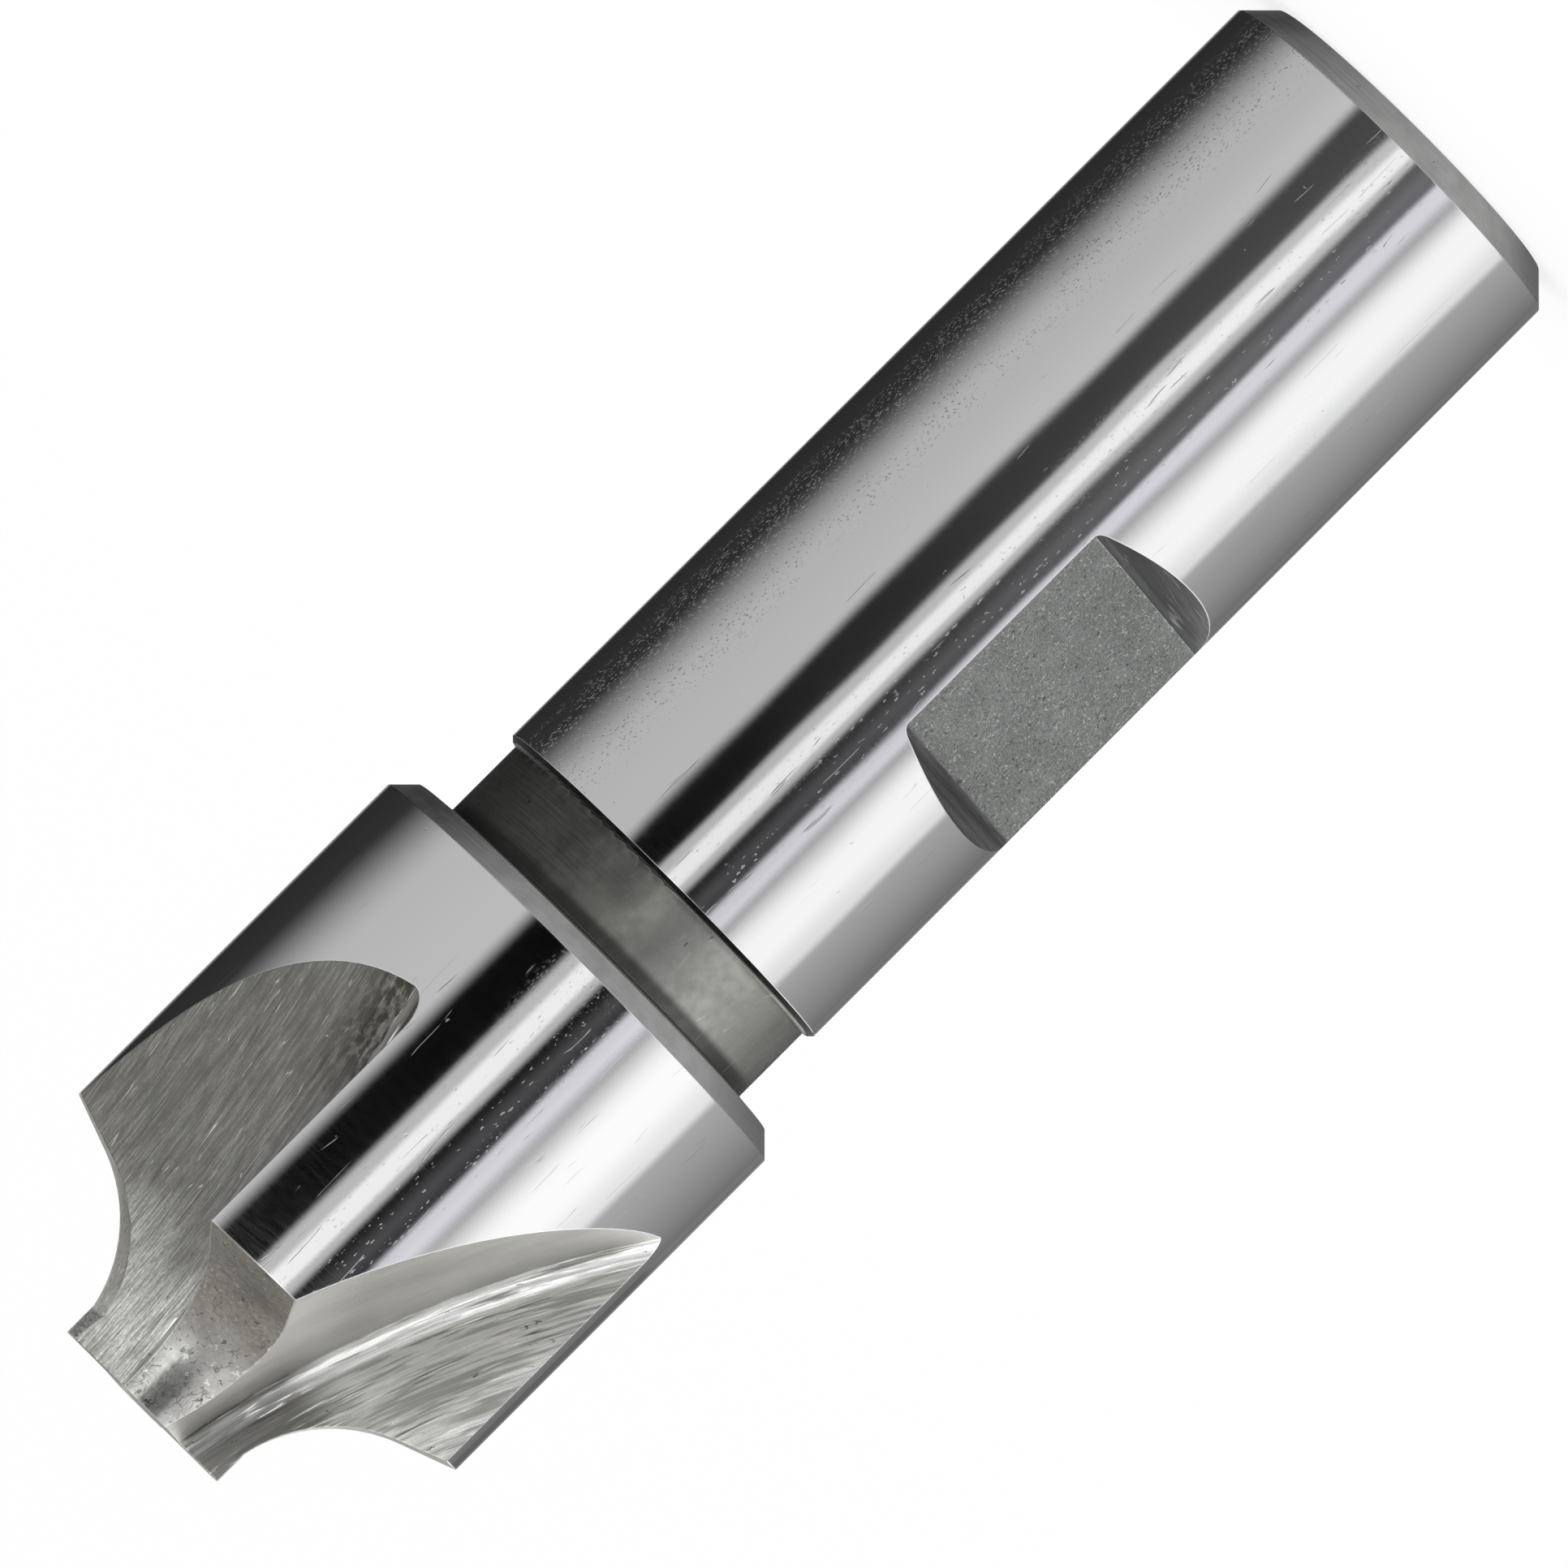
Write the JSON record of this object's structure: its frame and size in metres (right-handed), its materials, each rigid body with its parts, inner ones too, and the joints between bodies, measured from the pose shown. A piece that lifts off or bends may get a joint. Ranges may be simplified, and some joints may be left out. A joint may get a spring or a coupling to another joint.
{
  "type": "corner rounding end mill",
  "caption": "Solid steel milling cutter with a straight shank, a clamping flat, a short neck and a fluted head whose concave teeth round the outer corner of a workpiece.",
  "frame": {"origin": "middle of the shank's end face, which the tool stands on", "axes": "+Z along the tool's axis from the shank to the cutting tip; +X and +Y across it, with the clamping flat facing 216.5 degrees counter-clockwise from +X as seen from the tip"},
  "size_m": [0.0318, 0.0318, 0.107],
  "materials": {
    "tool_steel": "ground and bright on the shank and head, brushed in the flutes, dark heat-treatment scale on the neck"
  },
  "bodies": {
    "root": {"corner_rounding_end_mill": "tool_steel"}
  },
  "joints": []
}
